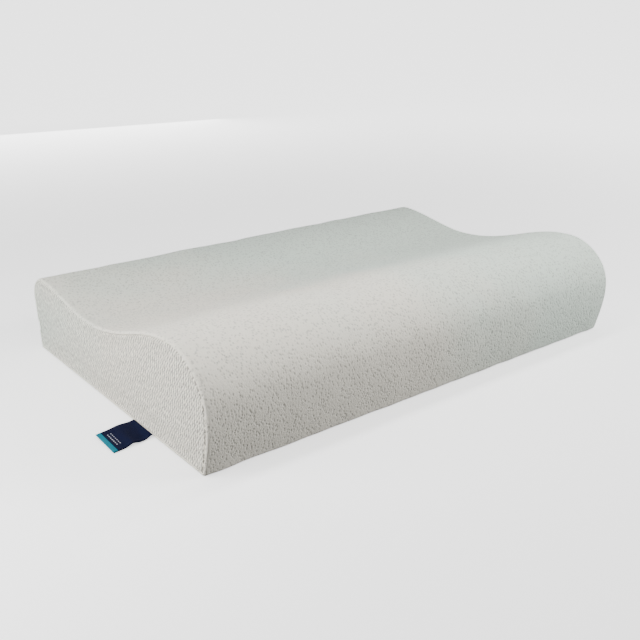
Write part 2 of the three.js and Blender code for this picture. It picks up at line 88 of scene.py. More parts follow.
camera = bpy.data.objects.new("camera", bpy.data.cameras.new("camera"))
camera.data.lens = CAMERA_LENS
camera.data.sensor_width = SENSOR_WIDTH
bpy.context.scene.collection.objects.link(camera)
away = CAMERA_DISTANCE * np.cos(CAMERA_ELEVATION)
camera.location = CAMERA_AIM + Vector(
    (
        away * np.sin(CAMERA_AZIMUTH),
        -away * np.cos(CAMERA_AZIMUTH),
        CAMERA_DISTANCE * np.sin(CAMERA_ELEVATION),
    )
)
turn = Euler((np.pi / 2 - CAMERA_ELEVATION, 0, CAMERA_AZIMUTH)).to_matrix()
camera.rotation_euler = (turn @ Euler((0, 0, CAMERA_ROLL)).to_matrix()).to_euler()
bpy.context.scene.camera = camera

# %% [markdown]
# ## A way to write materials as arithmetic
# Blender's materials are graphs of nodes. Written out node by node they are hard to
# read, so a small class wraps one socket and lets plain Python expressions add the
# Math nodes. Every other node comes from one method, which takes the node's type,
# its settings and what goes into its sockets.

# %% Sockets as numbers
MIX_COLOURS_IN, MIX_COLOUR_OUT = (6, 7), 2  # where the Mix node keeps its colour sockets


class Wire:
    """One output socket of a material, usable in Python arithmetic."""

    def __init__(self, finish, socket):
        self.finish = finish
        self.socket = socket

    def math(self, operation, *others):
        inputs = dict(enumerate([self, *others]))
        return self.finish.node("ShaderNodeMath", {"operation": operation}, inputs)

    def __add__(self, other):
        return self.math("ADD", other)

    def __mul__(self, other):
        return self.math("MULTIPLY", other)

    def __sub__(self, other):
        return self.math("SUBTRACT", other)

    def __rsub__(self, other):
        inputs = {0: other, 1: self}
        return self.finish.node("ShaderNodeMath", {"operation": "SUBTRACT"}, inputs)

    def __abs__(self):
        return self.math("ABSOLUTE")

    __radd__ = __add__
    __rmul__ = __mul__

    def sine(self):
        return self.math("SINE")

    def ripple(self, length):
        """A sine wave that repeats each length."""
        return (self * (2 * np.pi / length)).sine()


class Finish:
    """A material under construction, ending in a Principled BSDF."""

    def __init__(self, name, **constants):
        self.material = bpy.data.materials.new(name)
        self.material.use_nodes = True
        self.tree = self.material.node_tree
        self.shader = self.tree.nodes["Principled BSDF"]
        for key, value in constants.items():
            self.shader.inputs[key.replace("_", " ")].default_value = value

    def node(self, kind, settings=(), inputs=(), output=0):
        """Adds a node: settings first, then a value or a wire for each named input."""
        node = self.tree.nodes.new(kind)
        for key, value in dict(settings).items():
            setattr(node, key, value)
        for key, value in dict(inputs).items():
            if isinstance(value, Wire):
                self.tree.links.new(value.socket, node.inputs[key])
            else:
                node.inputs[key].default_value = value
        return Wire(self, node.outputs[output])

    def feed(self, socket, wire):
        self.tree.links.new(wire.socket, self.shader.inputs[socket])

    def in_mm(self, metres):
        inputs = {"Vector": metres, "Scale": 1 / MM}
        return self.node("ShaderNodeVectorMath", {"operation": "SCALE"}, inputs)

    def cloth_mm(self):
        """The piece's own flat cloth coordinates, in millimetres."""
        return self.in_mm(self.node("ShaderNodeUVMap", {"uv_map": "cloth"}))

    def object_mm(self):
        """The piece's place in the object, in millimetres."""
        return self.in_mm(self.node("ShaderNodeTexCoord", output="Object"))

    def stretched(self, vector, scale):
        return self.node("ShaderNodeMapping", {}, {"Vector": vector, "Scale": scale})

    def split(self, vector):
        """The three numbers of a vector, each as a wire."""
        first = self.node("ShaderNodeSeparateXYZ", {}, {"Vector": vector})
        return [Wire(self, output) for output in first.socket.node.outputs]

    def fade(self, value, start, stop):
        """0 below start, 1 above stop and a smooth climb between them."""
        settings = {"interpolation_type": "SMOOTHSTEP"}
        inputs = {"Value": value, "From Min": start, "From Max": stop}
        return self.node("ShaderNodeMapRange", settings, inputs)

    def noise(self, vector, size, detail=2.0, rough=0.5, distortion=0.0):
        """Smooth noise whose blobs are about size across."""
        inputs = {"Vector": vector, "Scale": 1 / size, "Detail": detail}
        inputs |= {"Roughness": rough, "Distortion": distortion}
        return self.node("ShaderNodeTexNoise", {}, inputs)

    def cells(self, vector, size, smooth=0.6):
        """Distance to the middle of irregular cells about size across, with soft edges."""
        inputs = {"Vector": vector, "Scale": 1 / size, "Smoothness": smooth}
        return self.node("ShaderNodeTexVoronoi", {"feature": "SMOOTH_F1"}, inputs)

    def blend(self, factor, first, second, how="MIX"):
        """A colour between two others, or the two combined in another of the node's ways."""
        inputs = {"Factor": factor}
        for key, colour in zip(MIX_COLOURS_IN, (first, second)):
            inputs[key] = colour if isinstance(colour, Wire) else (*colour, 1)
        settings = {"data_type": "RGBA", "blend_type": how}
        return self.node("ShaderNodeMix", settings, inputs, MIX_COLOUR_OUT)

    def bump(self, height, distance_mm, strength=1.0):
        inputs = {"Height": height, "Distance": distance_mm * MM, "Strength": strength}
        return self.node("ShaderNodeBump", {}, inputs)


# %% [markdown]
# ## Turning a grid into a mesh
# A piece here is a surface worked out on a grid of two parameters.

# %% Mesh helpers
def grid_faces(rows, columns, wrap=False):
    """Quads between neighbours on a grid; wrap joins the last column to the first."""
    i = np.arange(rows - 1)[:, None]
    j = np.arange(columns if wrap else columns - 1)[None, :]
    k = (j + 1) % columns
    quads = [i * columns + j, (i + 1) * columns + j, (i + 1) * columns + k, i * columns + k]
    return np.stack(np.broadcast_arrays(*quads), axis=-1).reshape(-1, 4)


def new_piece(name, points, faces, material, uv=None, extra_faces=()):
    """A mesh object from points, quads and any extra polygons, shaded smooth."""
    mesh = bpy.data.meshes.new(name)
    mesh.from_pydata(points.reshape(-1, 3).tolist(), [], faces.tolist() + list(extra_faces))
    mesh.polygons.foreach_set("use_smooth", np.ones(len(mesh.polygons), bool))
    if uv is not None:
        corner = np.zeros(len(mesh.loops), np.int32)
        mesh.loops.foreach_get("vertex_index", corner)
        layer = mesh.uv_layers.new(name="cloth")
        layer.data.foreach_set("uv", uv.reshape(-1, 2)[corner].astype(np.float32).ravel())
    mesh.materials.append(material)
    piece = bpy.data.objects.new(name, mesh)
    bpy.context.scene.collection.objects.link(piece)
    print(f"{name}: {len(mesh.polygons)} faces")
    return piece


def settle(piece, body, node):
    """Hangs a finished piece on the body it rides on and hides the node it replaces."""
    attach(piece, body)
    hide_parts(node)


def thicken(piece, thickness_mm):
    """Gives a sheet its thickness, inwards from its outer face."""
    wall = piece.modifiers.new("thickness", "SOLIDIFY")
    wall.thickness = thickness_mm * MM
    wall.offset = -1


def smooth_step(x):
    x = np.clip(x, 0, 1)
    return x * x * (3 - 2 * x)


# %% [markdown]
# ## Floor and lights
# A studio sweep has no corner: the floor curves up into the wall. Here it is a wide
# shallow bowl, a profile turned round a circle. Its far part glows a little, as an
# evenly lit white wall does, so that the horizon never shows as a dark band.
# A white floor would also throw its light up on the pillow's lower front and wash out
# the fall of shade there. Studios lay dark cards out of view to stop that; here the
# sweep is left out of the light that falls on matt surfaces.

# %% Floor
SWEEP_FLAT, SWEEP_REACH, SWEEP_HEIGHT = 2.2, 5.0, 3.2
SWEEP_DROP = 0.0003  # below the pillow, so that the two never share a plane
FLAT_RINGS = [0.02, 0.5, 1.2]
SWEEP_SIDES, WALL_STEPS = 96, 24
GRAIN_MM = 400
GLOW = 2.6
NEAR_GLOW = 0.5  # share of the glow close to the pillow
GLOW_FADE = (600, 2300)  # where it grows to the whole, in mm from the middle


def sweep():
    """A bowl: flat out to a radius, then a quarter ellipse up to the rim, turned round z."""
    finish = Finish("studio_white", Roughness=0.95, Emission_Strength=GLOW)
    place = finish.object_mm()
    x, y, _ = finish.split(place)
    glow = finish.fade((x * x + y * y).math("SQRT"), *GLOW_FADE)
    grain = finish.noise(place, GRAIN_MM, 1)
    finish.feed("Base Color", finish.blend(grain, (0.91, 0.91, 0.91), (0.93, 0.93, 0.93)))
    finish.feed("Emission Color", finish.blend(glow, (NEAR_GLOW,) * 3, (1, 1, 1)))
    angle = np.linspace(0, np.pi / 2, WALL_STEPS)
    curved = SWEEP_FLAT + (SWEEP_REACH - SWEEP_FLAT) * np.sin(angle)
    radius = np.concatenate([FLAT_RINGS, curved])
    rise = np.concatenate([np.zeros(len(FLAT_RINGS)), SWEEP_HEIGHT * (1 - np.cos(angle))])
    height = rise - SWEEP_DROP
    turn = np.linspace(0, 2 * np.pi, SWEEP_SIDES, endpoint=False)[None, :]
    parts = [radius[:, None] * np.cos(turn), radius[:, None] * np.sin(turn), height[:, None]]
    points = np.stack(np.broadcast_arrays(*parts), axis=-1)
    faces = grid_faces(*points.shape[:2], wrap=True)
    middle = [list(range(SWEEP_SIDES))]
    piece = new_piece("floor", points, faces, finish.material, None, middle)
    piece.visible_diffuse = False


sweep()


# %% Lights
def soft_light(name, place, size, power, aim=CAMERA_AIM):
    """A rectangular area light that faces a point, and that the camera can't see itself."""
    data = bpy.data.lights.new(name, "AREA")
    data.shape = "RECTANGLE"
    data.size, data.size_y = size
    data.energy = power
    light = bpy.data.objects.new(name, data)
    light.location = place
    light.rotation_euler = (Vector(aim) - Vector(place)).to_track_quat("-Z", "Y").to_euler()
    light.visible_camera = False
    bpy.context.scene.collection.objects.link(light)


CREST_LINE = (-0.02, -0.14)  # the strip light hangs over the front roll
ROOM_LIGHT = 0.15
soft_light("over_front_roll", (*CREST_LINE, 0.34), (0.8, 0.05), 1.35, (*CREST_LINE, 0))
soft_light("left_end", (-0.95, 0.05, 0.3), (0.6, 0.5), 12.3, (-0.3, -0.02, 0.06))
soft_light("front_right", (1.3, -1.2, 0.8), (1.0, 1.0), 48)
soft_light("behind", (0.2, 1.9, 0.35), (1.6, 0.7), 15)
world = bpy.data.worlds.new("pale_room")
world.use_nodes = True
background = world.node_tree.nodes["Background"]
background.inputs["Color"].default_value = (1, 1, 1, 1)
background.inputs["Strength"].default_value = ROOM_LIGHT
bpy.context.scene.world = world

# %% [markdown]
# ## The outline
# Everything on this pillow follows one curve: its outline seen from the end. It is the
# same family of curves as in the CAD model, in which an inset moves the whole outline
# inwards, so that each layer and each step of the end seam is one call away.

# %% The outline at any inset
CREST = np.array([63.0, HEIGHT / MM])  # depth from the front, height
BULGE_HEIGHT = 59.0
FRONT_TUCK = 10.6
FRONT_LEAN = np.radians(15)
DIP = np.array([253.0, 81.6])
BACK_CREST_INSET = 34.0
BACK_CREST = np.array([DEPTH / MM - BACK_CREST_INSET, 96.6])
BACK_SHOULDER = 31.4
BACK_TUCK = 6.0
EDGE_RADIUS = 4.0
LEAST_RADIUS = 0.8
ZIP_HEIGHT = 30.0
SLOT_HALF = 6.5
FOLD_RADIUS = 1.0

UPWARD = np.array([0.0, 1.0])

# How far each cubic is pulled along its two end directions, as a share of what it crosses.
CORNER_PULL = 0.55  # nearly a quarter circle
UNDER_FRONT_PULLS = (0.35, 0.31)
FRONT_ROLL_PULLS = (0.69, 0.39)
INTO_DIP_PULLS = (0.34, 0.45)
OUT_OF_DIP_PULLS = (0.3, 0.31)
CURVE_STEPS, CORNER_STEPS, FOLD_STEPS = 40, 12, 8
BELOW_ZIP_STEPS, ABOVE_ZIP_STEPS = 40, 60

FACE_TOP = np.array([DEPTH / MM, BACK_CREST[1] - BACK_SHOULDER])
BACK_LEAN = np.arctan2(BACK_TUCK, FACE_TOP[1])
FACE_UP = np.array([np.sin(BACK_LEAN), np.cos(BACK_LEAN)])
FACE_OUT = np.array([np.cos(BACK_LEAN), -np.sin(BACK_LEAN)])
ZIP_MIDDLE = FACE_TOP + FACE_UP * (ZIP_HEIGHT - FACE_TOP[1]) / FACE_UP[1]


def curve(start, start_pull, end_pull, end, steps=CURVE_STEPS):
    """Cubic curve: its four corners weighted by (1-t)^3, 3t(1-t)^2, 3t^2(1-t) and t^3."""
    t = np.linspace(0, 1, steps + 1)[1:, None]
    a, b, c, d = start, start + start_pull, end + end_pull, end
    return (1 - t) ** 3 * a + 3 * t * (1 - t) ** 2 * b + 3 * t**2 * (1 - t) * c + t**3 * d


def across(y):
    return np.array([y, 0.0])


def along_face(inset, start, end, steps):
    """Straight points on the back face, between two heights from the zip's middle."""
    heights = np.linspace(start, end, steps)[:, None]
    return ZIP_MIDDLE + heights * FACE_UP - inset * FACE_OUT


def hem_fold(inset, side):
    """A quarter circle that turns the cloth's edge in at the zip slot."""
    angle = np.linspace(0, np.pi / 2, FOLD_STEPS + 1)[1:, None]
    middle = along_face(inset, side * (SLOT_HALF + FOLD_RADIUS), 0, 1)
    to_zip = -side * FACE_UP
    return middle + FOLD_RADIUS * (np.sin(angle) * to_zip - (1 - np.cos(angle)) * FACE_OUT)


def low_part(inset, top, bulge, hem):
    """The outline's curves down the back, under the pillow and up the front to the bulge."""
    radius = max(EDGE_RADIUS - inset, LEAST_RADIUS)
    pull = CORNER_PULL * radius
    back_corner = top + FACE_UP * (inset - top[1]) / FACE_UP[1]
    back_up = back_corner + FACE_UP * radius
    back_under = back_corner - across(radius)
    rise = np.array([-np.sin(FRONT_LEAN), np.cos(FRONT_LEAN)])
    slide = inset * (1 - np.sin(FRONT_LEAN)) / np.cos(FRONT_LEAN)
    front_corner = np.array([FRONT_TUCK, 0.0]) + slide * rise
    front_corner = front_corner + inset * np.array([np.cos(FRONT_LEAN), np.sin(FRONT_LEAN)])
    front_under = front_corner + across(radius)
    front_up = front_corner + radius * rise
    below = bulge[1] - front_up[1]
    low_out, low_in = UNDER_FRONT_PULLS
    low_face = np.dot(back_up - ZIP_MIDDLE, FACE_UP)
    return [
        along_face(inset, -hem, low_face, BELOW_ZIP_STEPS),
        curve(back_up, -FACE_UP * pull, across(pull), back_under, CORNER_STEPS),
        curve(back_under, across(-1), across(1), front_under),
        curve(front_under, across(-pull), -rise * pull, front_up, CORNER_STEPS),
        curve(front_up, rise * low_out * below, -UPWARD * low_in * below, bulge),
    ]


def high_part(inset, bulge, top):
    """The outline's curves over the front roll, through the dip and over the back roll."""
    crest, dip, back_crest = (point - UPWARD * inset for point in (CREST, DIP, BACK_CREST))
    above = crest[1] - bulge[1]
    to_dip, from_dip = dip[0] - crest[0], back_crest[0] - dip[0]
    over, down = top[0] - back_crest[0], back_crest[1] - top[1]
    roll_out, roll_in = FRONT_ROLL_PULLS
    dip_out, dip_in = INTO_DIP_PULLS
    back_out, back_in = OUT_OF_DIP_PULLS
    return [
        curve(bulge, UPWARD * roll_out * above, -across(roll_in * (crest - bulge)[0]), crest),
        curve(crest, across(dip_out * to_dip), -across(dip_in * to_dip), dip),
        curve(dip, across(back_out * from_dip), -across(back_in * from_dip), back_crest),
        curve(back_crest, across(CORNER_PULL * over), FACE_UP * CORNER_PULL * down, top),
    ]


def outline(inset=0.0):
    """The open outline, moved in by an inset: from the zip down, under, up and over to it again."""
    top = FACE_TOP - inset * FACE_OUT
    bulge = np.array([inset, BULGE_HEIGHT])
    hem = SLOT_HALF + FOLD_RADIUS
    high_face = np.dot(top - ZIP_MIDDLE, FACE_UP)
    pieces = [
        hem_fold(inset, -1)[::-1],
        *low_part(inset, top, bulge, hem),
        *high_part(inset, bulge, top),
        along_face(inset, high_face, hem, ABOVE_ZIP_STEPS)[1:],
        hem_fold(inset, 1),
    ]
    points = np.concatenate(pieces)
    points[:, 0] -= DEPTH / MM / 2
    return points * MM


# %% [markdown]
# Evenly spaced points would waste most of them on the long flat underside and miss the
# tight corners. So the points are shared out by need: by length, by how much the curve
# turns, and a few more along the zip's hem, where the stitches sit.

# %% Sharing out the points round the outline
SPACING_MM = 3.6
TURN_PER_POINT = np.radians(11)
HEM_NEED = 2.0  # extra points for each millimetre near the zip
HEM_REACH_MM = 11


def point_places():
    """Fractional places along the dense outline, spaced by length, turning and the hem."""
    dense = outline()
    step = np.diff(dense, axis=0)
    length = np.linalg.norm(step, axis=1) / MM
    heading = np.unwrap(np.arctan2(step[:, 1], step[:, 0]))
    turning = np.abs(np.gradient(heading))
    middle = (dense[1:] + dense[:-1]) / 2 / MM
    middle[:, 0] += DEPTH / MM / 2
    from_zip = np.linalg.norm(middle - ZIP_MIDDLE, axis=1)
    hem = length * HEM_NEED * (from_zip < HEM_REACH_MM)
    need = length / SPACING_MM + turning / TURN_PER_POINT + hem
    total = np.concatenate([[0], np.cumsum(need)])
    count = int(total[-1])
    return np.interp(np.linspace(0, total[-1], count), total, np.arange(len(total)))


PLACES = point_places()


def ring(inset=0.0):
    """The outline's shared-out points at an inset: an array of (y, z)."""
    dense = outline(inset)
    index = np.arange(len(dense))
    return np.stack([np.interp(PLACES, index, dense[:, k]) for k in (0, 1)], axis=1)


RING = ring()
ROUND = np.concatenate([[0], np.cumsum(np.linalg.norm(np.diff(RING, axis=0), axis=1))])
print("outline:", len(RING), "points,", round(ROUND[-1] / MM), "mm round")

# %% [markdown]
# ## The cover's knit
# The cloth is a tone-on-tone double knit. On the body panel short tuck stitches pull
# the face in, every three millimetres or so, so that it is strewn with small oval
# dimples. The end panels show the other way of the knit: fine upright ribs that zigzag
# as their loops lean left and right. Colour and relief come from the same height, so
# the hollows are painted darker: painted shade in the dimples, creases and troughs, on
# top of the bump. The colour also drifts slowly between a warm and a greenish grey:
# partly at random, as undyed yarn does, and partly painted shade, since the darker
# greenish grey grows towards the back and stands in for the shade over the dip.

# %% Knit patterns
LOOP_MM = 0.85
DIMPLE_MM, DIMPLE_GRAIN, CREASE_MM, DEPTH_DRIFT_MM = 2.7, (1.0, 0.72, 1), 1.6, 6
RIB_MM, ZIGZAG_MM, ZIGZAG_LEAN = 3.9, 5.2, 1.1
WANDER_MM, WANDER_TURN = 14, 3.5
FLECK_MM, FLECK_GRAIN = 2.6, (1, 0.6, 1)


def dimples(finish, flat):
    """Soft-edged ovals sunk in the face: near the middle of a cell is low, the rest high."""
    grain = finish.stretched(flat, DIMPLE_GRAIN)
    middle = finish.cells(grain, DIMPLE_MM, 0.4)
    sink = 1 - finish.fade(middle, 0.05, 0.55)
    depth = finish.noise(flat, DEPTH_DRIFT_MM, 2, 0.6)
    crease = finish.noise(grain, CREASE_MM, 2, 0.6, 0.4)
    return 0.84 - sink * (depth * 0.9 + 0.1) + (crease - 0.5) * 0.7


def ribs(finish, flat):
    """Upright ribs: a sine across them, pushed left and right by a faster sine up them."""
    over, up, _ = finish.split(flat)
    lean = up.ripple(ZIGZAG_MM) * ZIGZAG_LEAN
    wander = finish.noise(flat, WANDER_MM, 2) * WANDER_TURN
    rib = (over * (2 * np.pi / RIB_MM) + lean + wander).sine()
    fleck = finish.noise(finish.stretched(flat, FLECK_GRAIN), FLECK_MM, 2, 0.6)
    return 0.5 + rib * 0.3 + (fleck - 0.5) * 1.6


# %% Knit material
WARM, GREENISH = (1.0, 0.955, 0.83), (0.82, 0.935, 0.825)
# the fade towards the back is partly painted shade: the darker greenish grey stands in for the
# shade over the dip
TINT_AND_SHADE_FADE = (-330, 150)  # from warm to greenish, in mm towards the right and the back
TINT_BLOB_MM, TINT_WANDER_MM = 160, 700


def knit(name, pattern, hollow, crown, relief):
    """Double knit: a pattern's height, crossed with fine loops, gives colour and bump."""
    sheen = {"Sheen_Weight": 0.06, "Sheen_Roughness": 0.5}
    finish = Finish(name, Roughness=0.95, Specular_IOR_Level=0.25, **sheen)
    flat = finish.cloth_mm()
    wale, course, _ = finish.split(flat)
    loops = wale.ripple(LOOP_MM) * course.ripple(LOOP_MM)
    height = pattern(finish, flat) + loops * 0.05
    place = finish.object_mm()
    along, back, _ = finish.split(place)
    wander = (finish.noise(place, TINT_BLOB_MM, 2) - 0.5) * TINT_WANDER_MM
    # partly painted shade: the greenish end is darker and grows towards the back, over the dip; the
    # noise gives the yarn's random drift
    tint_and_shade = finish.blend(finish.fade(along + back + wander, *TINT_AND_SHADE_FADE), WARM, GREENISH)
    # painted shade: the low parts of the relief take the darker hollow colour, on top of the bump
    tone = finish.blend(finish.fade(height, 0.1, 0.9), (hollow,) * 3, (crown,) * 3)
    finish.feed("Base Color", finish.blend(1.0, tone, tint_and_shade, "MULTIPLY"))
    finish.feed("Normal", finish.bump(height, relief))
    return finish.material


COVER_KNIT = knit("cover_knit", dimples, 0.50, 0.82, 0.8)
END_KNIT = knit("end_knit", ribs, 0.34, 0.96, 1.05)

# %% [markdown]
# ## The cover's body panel
# One piece of cloth wraps the pillow from the zip's lower edge, under the pillow, up the
# front and over the top to the zip's upper edge. At each end it rolls over the corner
# and dives into the end seam. The grid's rows step along the pillow and its columns go
# round it; near the ends the rows also step inwards, down the roll and into the ditch.

# %% Body panel
ROLL_RADIUS = 2.8
DITCH_INSET = 3.5
DITCH_DEPTH = 1.3
STITCH_HEIGHT = SLOT_HALF + 2  # the topstitching, from the zip's middle
GROOVE_DEPTH = 0.25
GROOVE_WIDTH = 0.9
GATHER_MM, GATHER_FADE = 0.22, 7  # the seam's small puckers, and how far in they reach
SWAY_MM, SWAY_CALM = 0.55, 60  # the slow waves, and the calm stretch at each end
SWELL_CALM = 20
REST_HEIGHT, LIFT_HEIGHT = 1, 12  # the cloth is flat on the table below the first, free above both
ZIP_CALM, ZIP_FREE = 9, 20  # calm near the zip, free this much further out
BODY_CLOTH_MM = 1.4
ROLL_STEPS, EASE_STEPS = 8, 9


def end_steps():
    """(inset, depth from the end) down the roll: the ditch's wall, the roll, the flat."""
    wall = np.array([[DITCH_INSET + 0.15, DITCH_DEPTH], [DITCH_INSET, DITCH_DEPTH * 0.55]])
    lip = np.array([[DITCH_INSET - 0.2, 0.4]])
    angle = np.linspace(0, np.pi / 2, ROLL_STEPS)
    roll = ROLL_RADIUS * np.stack([1 - np.sin(angle), 1 - np.cos(angle)], axis=1)
    growing = np.geomspace(1.0, 24.0, EASE_STEPS)
    flat = np.stack([np.zeros(EASE_STEPS), growing + ROLL_RADIUS], axis=1)
    return np.concatenate([wall, lip, roll, flat])


STEPS = end_steps()
MIDDLE_ROWS = 100


def waves(u, v, seed, longest, shortest, count=24):
    """Gentle unevenness between -1 and 1: many sine waves of random direction and length."""
    draw = np.random.default_rng(seed)
    total = np.zeros(np.broadcast(u, v).shape)
    for _ in range(count):
        size = np.exp(draw.uniform(np.log(shortest), np.log(longest)))
        heading, phase = draw.uniform(0, 2 * np.pi, 2)
        total += np.sin(2 * np.pi * (u * np.cos(heading) + v * np.sin(heading)) / size + phase)
    return total / np.sqrt(count) / 1.5


def normals(points):
    """Unit normals of a grid: the cross product of its two directions of travel."""
    cross = np.cross(np.gradient(points, axis=0), np.gradient(points, axis=1))
    return cross / np.maximum(np.linalg.norm(cross, axis=-1, keepdims=True), 1e-12)


def body_rows():
    """Each row's inset and x, from the left ditch to the right one."""
    inset, depth = STEPS.T
    half = LENGTH / 2 / MM
    reach = half - depth[-1]
    middle = np.linspace(-reach, reach, MIDDLE_ROWS)[1:-1]
    x = np.concatenate([-(half - depth), middle, (half - depth)[::-1]])
    return np.concatenate([inset, np.zeros(len(middle)), inset[::-1]]), x


# %% [markdown]
# Where a smooth CAD surface looks like plastic, real cloth is held at its seams and
# swells a little between them. That is what Blender's cloth solver is for. A coarse
# sheet of the body panel is held fast along both end seams, both edges of the zip and
# the whole underside, and softly everywhere else, which is what the foam does. Pressure
# pushes it out for twenty frames. Only its movement square to the surface is kept,
# softly capped, and laid over the fine grid, so the simulation is small and quick while
# the piece stays sharp at its seams.

# %% The cloth solver on a coarse sheet
COARSE_ROWS, COARSE_COLUMNS = 61, 97
SHEET_END_MM = 3.0
SLACK_MM = 0.4
SWELL_CAP_MM = 1.7
FOAM_HOLD = 0.35
TABLE_MM = 1.5  # cloth lower than this lies on the table
PRESSURE = 4
SOLVE_QUALITY = 4
SOLVE_FRAMES = 20


def coarse_sheet():
    """The outline at even steps round, carried along x: a grid of points, with a little slack."""
    half = LENGTH / 2 - SHEET_END_MM * MM
    x = np.linspace(-half, half, COARSE_ROWS)[:, None]
    even = np.linspace(0, ROUND[-1], COARSE_COLUMNS)[None, :]
    y, z = (np.interp(even, ROUND, RING[:, k]) for k in (0, 1))
    sheet = np.stack(np.broadcast_arrays(x, y, z), axis=-1)
    slack = waves(x / MM, even / MM, 7, 90, 25) * SLACK_MM * MM
    return sheet, sheet + normals(sheet) * slack[..., None]


def hold_cloth(piece, sheet):
    """Weights for the solver: 1 at the seams, the zip and the underside, a little elsewhere."""
    firm = np.zeros(sheet.shape[:2], bool)
    firm[[0, -1]] = True
    firm[:, [0, -1]] = True
    firm |= sheet[..., 2] < TABLE_MM * MM
    group = piece.vertex_groups.new(name="held")
    group.add(np.flatnonzero(~firm).tolist(), FOAM_HOLD, "REPLACE")
    group.add(np.flatnonzero(firm).tolist(), 1.0, "REPLACE")


def solve_cloth(piece):
    """Steps the solver through its frames and returns where the points end up."""
    cloth = piece.modifiers.new("cloth", "CLOTH")
    cloth.settings.vertex_group_mass = "held"
    cloth.settings.use_pressure = True
    cloth.settings.uniform_pressure_force = PRESSURE
    cloth.settings.effector_weights.gravity = 0
    cloth.settings.quality = SOLVE_QUALITY
    cloth.point_cache.frame_start, cloth.point_cache.frame_end = 1, SOLVE_FRAMES
    for step in range(1, SOLVE_FRAMES + 1):
        bpy.context.scene.frame_set(step)
    solved = piece.evaluated_get(bpy.context.evaluated_depsgraph_get()).data
    points = np.zeros(len(solved.vertices) * 3)
    solved.vertices.foreach_get("co", points)
    bpy.context.scene.frame_set(1)
    return points.reshape(-1, 3)


def swell():
    """How far the solved sheet stands out from the outline, in mm, with a soft cap."""
    sheet, slack_sheet = coarse_sheet()
    faces = grid_faces(*sheet.shape[:2])
    piece = new_piece("solver_sheet", slack_sheet, faces, COVER_KNIT)
    hold_cloth(piece, sheet)
    moved = solve_cloth(piece).reshape(sheet.shape) - sheet
    bpy.data.objects.remove(piece)
    out = (moved * normals(sheet)).sum(axis=-1) / MM
    print("cloth moved, mm, least, middle, most:", np.percentile(out, [0, 50, 100]).round(2))
    return SWELL_CAP_MM * np.tanh(out / SWELL_CAP_MM)


def between(field, i, j):
    """A grid's value at fractional places: its four nearest values, weighted by nearness."""
    i = np.clip(i, 0, field.shape[0] - 1.001)
    j = np.clip(j, 0, field.shape[1] - 1.001)
    a, b = i.astype(int), j.astype(int)
    u, v = i - a, j - b
    near = field[a, b] * (1 - v) + field[a, b + 1] * v
    far = field[a + 1, b] * (1 - v) + field[a + 1, b + 1] * v
    return near * (1 - u) + far * u


SWELL = swell()

# %% Body panel piece
def body_panel():
    """The outline swept along x, then pushed out by puckers, slow waves and the solved swell."""
    insets, xs = body_rows()
    rings = np.stack([ring(inset) for inset in insets])
    x = np.broadcast_to(xs[:, None], rings.shape[:2])
    points = np.concatenate([x[..., None] * MM, rings], axis=-1)
    travel = np.concatenate([[0], np.cumsum(np.hypot(np.diff(insets), np.diff(xs)))])
    u = np.broadcast_to(travel[:, None], x.shape) * MM
    v = np.broadcast_to(ROUND, x.shape)
    from_end = LENGTH / 2 / MM - np.abs(x)
    which_end = np.sign(x) * 50.0
    gather = waves(v / MM, which_end, 3, 16, 7) * np.exp(-from_end / GATHER_FADE) * GATHER_MM
    sway = waves(u / MM, v / MM, 5, 260, 90) * SWAY_MM * smooth_step(from_end / SWAY_CALM)
    resting = smooth_step((rings[..., 1] / MM - REST_HEIGHT) / LIFT_HEIGHT)
    seam = smooth_step((from_end - 0.5) / 3)
    off_zip = np.linalg.norm(RING / MM - (ZIP_MIDDLE - across(DEPTH / MM / 2)), axis=1)
    sway = sway * resting * smooth_step((off_zip - ZIP_CALM) / ZIP_FREE)
    groove = -GROOVE_DEPTH * np.exp(-(((off_zip - STITCH_HEIGHT) / GROOVE_WIDTH) ** 2))
    row = (x * MM / (LENGTH / 2 - SHEET_END_MM * MM) + 1) / 2 * (COARSE_ROWS - 1)
    swollen = between(SWELL, row, v / ROUND[-1] * (COARSE_COLUMNS - 1))
    sway = sway + swollen * smooth_step(from_end / SWELL_CALM)
    points = points + normals(points) * ((gather + sway + groove) * seam * MM)[..., None]
    points[..., 2] = np.maximum(points[..., 2], 0)
    uv = np.stack([u, v], axis=-1)
    faces = grid_faces(*x.shape)
    piece = new_piece("cover_body", points, faces, COVER_KNIT, uv)
    thicken(piece, BODY_CLOTH_MM)
    settle(piece, "pillow", "cover_body_panel")


body_panel()

# %% [markdown]
# ## The end panels
# Each end is closed by a flat panel. Its edge comes up out of the ditch, runs over the
# overlocked seam allowance behind it, which shows as a faint ridge, and then domes very
# slightly. The rings near the seam are outlines at growing insets; further in they
# shrink evenly towards a point in the middle of the end.

# %% End panels
RIDGE_MM, RIDGE_INSET, RIDGE_WIDTH = 0.45, 6.6, 2.2
DOME_MM, DOME_START, DOME_REACH = 1.6, 8, 34
DITCH_WIDTH = 0.75
FIRST_INSET, LAST_INSET = 4.3, 20.0
EDGE_RINGS, INNER_RINGS = 18, 17
LEAST_SHARE = 0.04  # the innermost ring's size, as a share of the last outline's
MIDDLE_DEEP = 45  # about how much further in the middle of the panel is
PANEL_PUCKER_MM, PANEL_SWAY_MM = 0.2, 0.5
END_CLOTH_MM = 1.2


def hump(s, middle, width):
    """A smooth hump, 1 high at its middle."""
    return np.exp(-(((s - middle) / width) ** 2))


